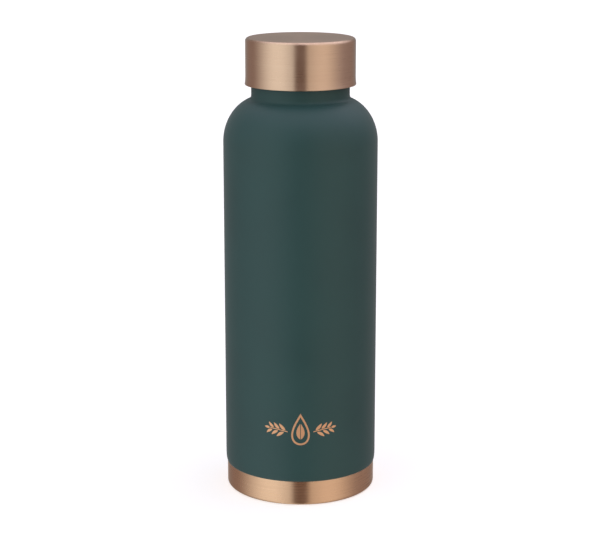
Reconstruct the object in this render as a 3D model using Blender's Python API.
"""Copper water bottle with a painted body, a bare copper base and a copper screw cap.

Every solid is turned about +Z. The origin is the middle of the circle that the bottle stands on, and heights
are measured up from there. At rest the cap is screwed home. It unscrews anticlockwise seen from above, on a
right-hand thread.
"""

import math

import bmesh
import bpy

MM = 0.001
GAP = 0.3 * MM  # between two pieces that touch, because their meshes are faceted
SEGMENTS = 48  # facets round every turned piece
SHARP = math.radians(40)  # edges that bend more than this aren't shaded smooth

# Body: a drawn tube, closed in to an elliptical shoulder and a short straight collar
WALL = 0.7 * MM
BODY_RADIUS = 36.5 * MM
BODY_BOTTOM = 12.0 * MM
SHOULDER_START = 169.0 * MM
SHOULDER_ACROSS = 18.4 * MM  # the ellipse's half axis along the radius
SHOULDER_UP = 21.3 * MM  # and the one along the height
COLLAR_RADIUS = 23.15 * MM
COLLAR_TOP = 197.4 * MM
COLLAR_BEND = 1.2 * MM  # reach of the hollow bend where the collar leaves the shoulder
EDGE_ROLL = 4.0 * MM  # height over which the lower edge is rounded in
EDGE_INSET = 0.5 * MM

# Base cup, whose upper part telescopes into the body
BASE_RADIUS = BODY_RADIUS - WALL
SLEEVE_RADIUS = BASE_RADIUS - GAP
SLEEVE_TOP = BODY_BOTTOM + 8.0 * MM
BASE_CORNER = 1.3 * MM
FOOT_INNER_RADIUS = 31.5 * MM
FLOOR_RADIUS = 29.5 * MM
FLOOR_RISE = 2.5 * MM
FLOOR_BEND = 0.9 * MM
BRAZE_HEIGHT = 1.2 * MM
BRAZE_LIP = 0.3 * MM  # a fillet of filler isn't drawn down to nothing

# Neck ring, which carries the thread and is brazed into the collar
MOUTH_RADIUS = 21.4 * MM
SPIGOT_RADIUS = COLLAR_RADIUS - WALL - GAP
SPIGOT_BOTTOM = 190.2 * MM
FLANGE_RADIUS = 22.95 * MM
FLANGE_THICKNESS = 0.6 * MM
RIM_HEIGHT = 212.9 * MM
LIP_ROUND = 0.4 * MM

# Thread, right-hand and single start
PITCH = 4.5 * MM
THREAD_CORE_RADIUS = 22.5 * MM
THREAD_CREST_RADIUS = 23.5 * MM
THREAD_CLEARANCE = 0.35 * MM
THREAD_START = 200.0 * MM
THREAD_TURNS = 1.75
RIDGE_FOOT = 2.2 * MM  # a ridge's width where it leaves the wall
RIDGE_CREST = 0.9 * MM
RIDGE_ROOT_DEPTH = 0.25 * MM  # how far a ridge runs into its wall
RIDGE_FADE = math.radians(25)  # the angle over which each end runs out
RIDGE_STEP = 2 * math.pi / SEGMENTS
CAP_THREAD_DROP = 1.85 * MM  # the cap's ridge sits this far under the neck's
CAP_THREAD_FIRST_TURN = 0.25
CAP_THREAD_TURNS = 1.5

# Cap
CAP_RADIUS = 25.85 * MM
CAP_BOTTOM = 195.9 * MM
CAP_TOP = 217.8 * MM
CAP_WALL = 0.6 * MM
CAP_CORNER = 1.5 * MM
FLARE = 0.3 * MM
FLARE_HEIGHT = 1.6 * MM
INSERT_RADIUS = CAP_RADIUS - CAP_WALL - GAP
INSERT_TOP = CAP_TOP - CAP_WALL - GAP
INSERT_BOTTOM = CAP_BOTTOM + GAP
INSERT_CORNER = 0.9 * MM
INSERT_BORE = THREAD_CREST_RADIUS + THREAD_CLEARANCE
INSERT_LEAD_IN = 0.5 * MM
INSERT_PLATE = 1.6 * MM
SEAL_TOP = INSERT_TOP - INSERT_PLATE - GAP
DISC_RADIUS = 21.0 * MM
DISC_THICKNESS = 0.5 * MM
GASKET_THICKNESS = 1.8 * MM
GASKET_ROUND = 0.4 * MM

# colour (linear RGB), metallic, roughness
FINISHES = {
    "green_paint": ((0.042, 0.066, 0.064), 0.0, 0.55),
    "brushed_copper": ((0.60, 0.33, 0.20), 1.0, 0.32),
    "bare_copper": ((0.66, 0.34, 0.20), 1.0, 0.25),
    "braze": ((0.55, 0.42, 0.30), 1.0, 0.45),
    "insert_plastic": ((0.80, 0.79, 0.75), 0.0, 0.45),
    "silicone": ((0.75, 0.76, 0.75), 0.0, 0.60),
}


def clear_scene():
    for obj in list(bpy.data.objects):
        bpy.data.objects.remove(obj)


def finish(name):
    colour, metallic, roughness = FINISHES[name]
    material = bpy.data.materials.get(name) or bpy.data.materials.new(name)
    material.use_nodes = True
    shader = material.node_tree.nodes["Principled BSDF"]
    shader.inputs["Base Color"].default_value = (*colour, 1.0)
    shader.inputs["Metallic"].default_value = metallic
    shader.inputs["Roughness"].default_value = roughness
    return material


def pivot(name, height):
    """An empty on the bottle's axis, which the pieces that move with it are parented to."""
    empty = bpy.data.objects.new(name, None)
    empty.location = (0.0, 0.0, height)
    bpy.context.scene.collection.objects.link(empty)
    return empty


def arc(centre, radii, start, end, steps):
    """Points (radius, height) of an elliptical arc about centre, from angle start to end in degrees."""
    points = []
    for i in range(steps + 1):
        angle = math.radians(start + (end - start) * i / steps)
        points.append((centre[0] + radii[0] * math.cos(angle), centre[1] + radii[1] * math.sin(angle)))
    return points


def bend(start, corner, end, steps=3):
    """Points of a smooth turn from start to end, tangent to the lines that meet at corner."""
    points = []
    for i in range(steps + 1):
        t = i / steps
        weights = ((1 - t) ** 2, 2 * t * (1 - t), t**2)
        points.append(
            tuple(sum(w * p[k] for w, p in zip(weights, (start, corner, end))) for k in range(2))
        )
    return points


def inside_face(path, thickness):
    """The other face of a sheet whose outer face is path, which runs down its outer side. Points on the axis
    stay on it."""
    inner = []
    for i, (r, z) in enumerate(path):
        before = path[max(i - 1, 0)]
        after = path[min(i + 1, len(path) - 1)]
        legs = []
        for a, b in ((before, (r, z)), ((r, z), after)):
            length = math.dist(a, b)
            if length > 0.0:
                legs.append(((b[1] - a[1]) / length, (a[0] - b[0]) / length))
        normal = (sum(leg[0] for leg in legs) / len(legs), sum(leg[1] for leg in legs) / len(legs))
        reach = thickness / (normal[0] ** 2 + normal[1] ** 2)
        inner.append((r + normal[0] * reach if r > 0.0 else 0.0, z + normal[1] * reach))
    return inner


def turned(name, outline, material, parent, closed):
    """A solid of revolution from an outline of (radius, height) points.

    A closed outline makes a ring. An open one starts and ends on the axis.
    """
    bm = bmesh.new()
    points = [bm.verts.new((r, 0.0, z - parent.location.z)) for r, z in outline]
    pairs = list(zip(points, points[1:]))
    if closed:
        pairs.append((points[-1], points[0]))
    edges = [bm.edges.new(pair) for pair in pairs]
    bmesh.ops.spin(
        bm,
        geom=points + edges,
        axis=(0, 0, 1),
        cent=(0, 0, 0),
        steps=SEGMENTS,
        angle=2 * math.pi,
        use_merge=True,
    )
    bmesh.ops.remove_doubles(bm, verts=bm.verts, dist=0.001 * MM)
    bmesh.ops.recalc_face_normals(bm, faces=bm.faces)
    mesh = bpy.data.meshes.new(name)
    bm.to_mesh(mesh)
    bm.free()
    mesh.shade_smooth()
    mesh.set_sharp_from_angle(angle=SHARP)
    mesh.materials.append(finish(material))
    obj = bpy.data.objects.new(name, mesh)
    bpy.context.scene.collection.objects.link(obj)
    obj.parent = parent
    return obj


def join_ridge(obj, wall_radius, crest_radius, first_turn, turns, start_height):
    """Joins a tapered ridge to a wall, along a right-hand helix. Both its ends run out into the wall.

    It starts half a facet on, so that none of its edges lies along one of the wall's.
    """
    outwards = math.copysign(1.0, crest_radius - wall_radius)
    root = wall_radius - outwards * RIDGE_ROOT_DEPTH
    buried = wall_radius - outwards * RIDGE_ROOT_DEPTH / 2
    length = turns * 2 * math.pi
    steps = round(length / RIDGE_STEP)
    bm = bmesh.new()
    rings = []
    for i in range(steps + 1):
        along = length * i / steps
        angle = first_turn * 2 * math.pi + RIDGE_STEP / 2 + along
        share = min(1.0, along / RIDGE_FADE, (length - along) / RIDGE_FADE)
        crest = buried + (crest_radius - buried) * share
        height = start_height + PITCH * angle / (2 * math.pi) - obj.parent.location.z
        section = (
            (root, -RIDGE_FOOT / 2),
            (crest, -RIDGE_CREST / 2),
            (crest, RIDGE_CREST / 2),
            (root, RIDGE_FOOT / 2),
        )
        rings.append(
            [bm.verts.new((r * math.cos(angle), r * math.sin(angle), height + dz)) for r, dz in section]
        )
    for first, second in zip(rings, rings[1:]):
        for k in range(4):
            bm.faces.new((first[k], first[(k + 1) % 4], second[(k + 1) % 4], second[k]))
    bm.faces.new(rings[0])
    bm.faces.new(reversed(rings[-1]))
    bmesh.ops.recalc_face_normals(bm, faces=bm.faces)
    bmesh.ops.triangulate(bm, faces=bm.faces)
    mesh = bpy.data.meshes.new(obj.name + "_ridge")
    bm.to_mesh(mesh)
    bm.free()
    ridge = bpy.data.objects.new(obj.name + "_ridge", mesh)
    bpy.context.scene.collection.objects.link(ridge)
    ridge.parent = obj.parent
    ridge.hide_render = True
    ridge.display_type = "WIRE"
    union = obj.modifiers.new("thread", "BOOLEAN")
    union.operation = "UNION"
    union.solver = "EXACT"
    union.object = ridge


def shoulder_point(radius):
    """The point of the shoulder's outer face at a radius."""
    share = 1.0 - (BODY_RADIUS - radius) / SHOULDER_ACROSS
    return (radius, SHOULDER_START + SHOULDER_UP * math.sqrt(1.0 - share**2))


def shoulder_angle(radius):
    """The shoulder ellipse's angle, in degrees, where it reaches a radius."""
    return math.degrees(math.acos(1.0 - (BODY_RADIUS - radius) / SHOULDER_ACROSS))


def body_shell(parent):
    corner = shoulder_point(COLLAR_RADIUS)
    bend_end = COLLAR_RADIUS + COLLAR_BEND
    collar = [
        (COLLAR_RADIUS, COLLAR_TOP),
        *bend((COLLAR_RADIUS, corner[1] + COLLAR_BEND), corner, shoulder_point(bend_end)),
    ]
    shoulder = arc(
        (BODY_RADIUS - SHOULDER_ACROSS, SHOULDER_START),
        (SHOULDER_ACROSS, SHOULDER_UP),
        shoulder_angle(bend_end),
        0.0,
        10,
    )
    drawn = collar + shoulder[1:]
    rounded_edge = arc(
        (BODY_RADIUS - EDGE_INSET, BODY_BOTTOM + EDGE_ROLL), (EDGE_INSET, EDGE_ROLL), 0.0, -90.0, 4
    )
    inner = inside_face([*drawn, (BODY_RADIUS, BODY_BOTTOM)], WALL)
    turned("body_shell", drawn + rounded_edge + inner[::-1], "green_paint", parent, closed=True)


def base_cup(parent):
    foot_slope_top = (FLOOR_RADIUS, FLOOR_RISE)
    foot_slope_bottom = (FOOT_INNER_RADIUS, 0.0)
    middle = ((FLOOR_RADIUS + FOOT_INNER_RADIUS) / 2, FLOOR_RISE / 2)
    outer = [
        (SLEEVE_RADIUS, SLEEVE_TOP),
        (SLEEVE_RADIUS, BODY_BOTTOM),
        (BASE_RADIUS, BODY_BOTTOM - GAP),
        *arc((BASE_RADIUS - BASE_CORNER, BASE_CORNER), (BASE_CORNER, BASE_CORNER), 0.0, -90.0, 4),
        *bend((FOOT_INNER_RADIUS + FLOOR_BEND, 0.0), foot_slope_bottom, middle),
        *bend(middle, foot_slope_top, (FLOOR_RADIUS - FLOOR_BEND, FLOOR_RISE))[1:],
        (0.0, FLOOR_RISE),
    ]
    turned("base_cup", inside_face(outer, WALL)[::-1] + outer, "brushed_copper", parent, closed=False)


def base_braze_ring(parent):
    """Filler in the corner over the base cup's rim."""
    foot = SLEEVE_TOP + GAP
    outside = BODY_RADIUS - WALL - GAP
    outline = [
        (outside, foot + BRAZE_HEIGHT),
        (outside, foot),
        (outside - WALL, foot),
        (outside - WALL, foot + BRAZE_LIP),
    ]
    turned("base_braze_ring", outline, "braze", parent, closed=True)


def neck_ring(parent):
    seat = COLLAR_TOP + GAP
    flange_top = seat + FLANGE_THICKNESS
    lip = (LIP_ROUND, LIP_ROUND)
    outline = [
        *arc((THREAD_CORE_RADIUS - LIP_ROUND, RIM_HEIGHT - LIP_ROUND), lip, 90.0, 0.0, 3),
        (THREAD_CORE_RADIUS, flange_top),
        (FLANGE_RADIUS, flange_top),
        (FLANGE_RADIUS, seat),
        (SPIGOT_RADIUS, seat),
        (SPIGOT_RADIUS, SPIGOT_BOTTOM),
        (MOUTH_RADIUS, SPIGOT_BOTTOM),
        *arc((MOUTH_RADIUS + LIP_ROUND, RIM_HEIGHT - LIP_ROUND), lip, 180.0, 90.0, 3),
    ]
    ring = turned("neck_ring", outline, "bare_copper", parent, closed=True)
    join_ridge(ring, THREAD_CORE_RADIUS, THREAD_CREST_RADIUS, 0.0, THREAD_TURNS, THREAD_START)


def neck_braze_ring(parent):
    """Filler in the corner under the neck ring's spigot."""
    top = SPIGOT_BOTTOM - GAP
    outline = [
        (SPIGOT_RADIUS, top),
        (SPIGOT_RADIUS, top - BRAZE_HEIGHT),
        (MOUTH_RADIUS, top - BRAZE_LIP),
        (MOUTH_RADIUS, top),
    ]
    turned("neck_braze_ring", outline, "braze", parent, closed=True)


def cap_shell(parent):
    outer = [
        (0.0, CAP_TOP),
        *arc((CAP_RADIUS - CAP_CORNER, CAP_TOP - CAP_CORNER), (CAP_CORNER, CAP_CORNER), 90.0, 0.0, 5),
        (CAP_RADIUS, CAP_BOTTOM + FLARE_HEIGHT),
        (CAP_RADIUS + FLARE, CAP_BOTTOM),
    ]
    inner = inside_face(outer, CAP_WALL)
    square_cut_end = (inner[-1][0], CAP_BOTTOM)
    outline = [*outer, square_cut_end, *inner[-2::-1]]
    turned("cap_shell", outline, "brushed_copper", parent, closed=False)


def cap_insert(parent):
    """The threaded plastic cup that the cap's shell is pressed over."""
    underside = INSERT_TOP - INSERT_PLATE
    outline = [
        (0.0, INSERT_TOP),
        (INSERT_RADIUS - INSERT_CORNER, INSERT_TOP),
        (INSERT_RADIUS, INSERT_TOP - INSERT_CORNER),
        (INSERT_RADIUS, INSERT_BOTTOM),
        (INSERT_BORE + INSERT_LEAD_IN, INSERT_BOTTOM),
        (INSERT_BORE, INSERT_BOTTOM + INSERT_LEAD_IN),
        (INSERT_BORE, underside),
        (0.0, underside),
    ]
    insert = turned("cap_insert", outline, "insert_plastic", parent, closed=False)
    join_ridge(
        insert,
        INSERT_BORE,
        THREAD_CORE_RADIUS + THREAD_CLEARANCE,
        CAP_THREAD_FIRST_TURN,
        CAP_THREAD_TURNS,
        THREAD_START - CAP_THREAD_DROP,
    )


def cap_facing_disc(parent):
    """The copper disc that faces the drink."""
    outline = [
        (0.0, SEAL_TOP),
        (DISC_RADIUS, SEAL_TOP),
        (DISC_RADIUS, SEAL_TOP - DISC_THICKNESS),
        (0.0, SEAL_TOP - DISC_THICKNESS),
    ]
    turned("cap_facing_disc", outline, "bare_copper", parent, closed=False)


def cap_gasket(parent):
    inside = DISC_RADIUS + GAP
    outside = INSERT_BORE - GAP
    bottom = SEAL_TOP - GASKET_THICKNESS
    outline = [
        (outside - GASKET_ROUND, SEAL_TOP),
        (outside, SEAL_TOP - GASKET_ROUND),
        (outside, bottom + GASKET_ROUND),
        (outside - GASKET_ROUND, bottom),
        (inside + GASKET_ROUND, bottom),
        (inside, bottom + GASKET_ROUND),
        (inside, SEAL_TOP - GASKET_ROUND),
        (inside + GASKET_ROUND, SEAL_TOP),
    ]
    turned("cap_gasket", outline, "silicone", parent, closed=True)


def main():
    clear_scene()
    bottle = pivot("bottle_axis", 0.0)
    body_shell(bottle)
    base_cup(bottle)
    base_braze_ring(bottle)
    neck_ring(bottle)
    neck_braze_ring(bottle)

    lift = pivot("cap_lift_axis", RIM_HEIGHT)
    cap_gasket(lift)

    turn = pivot("cap_turn_axis", CAP_BOTTOM)
    cap_shell(turn)
    cap_insert(turn)
    cap_facing_disc(turn)


main()
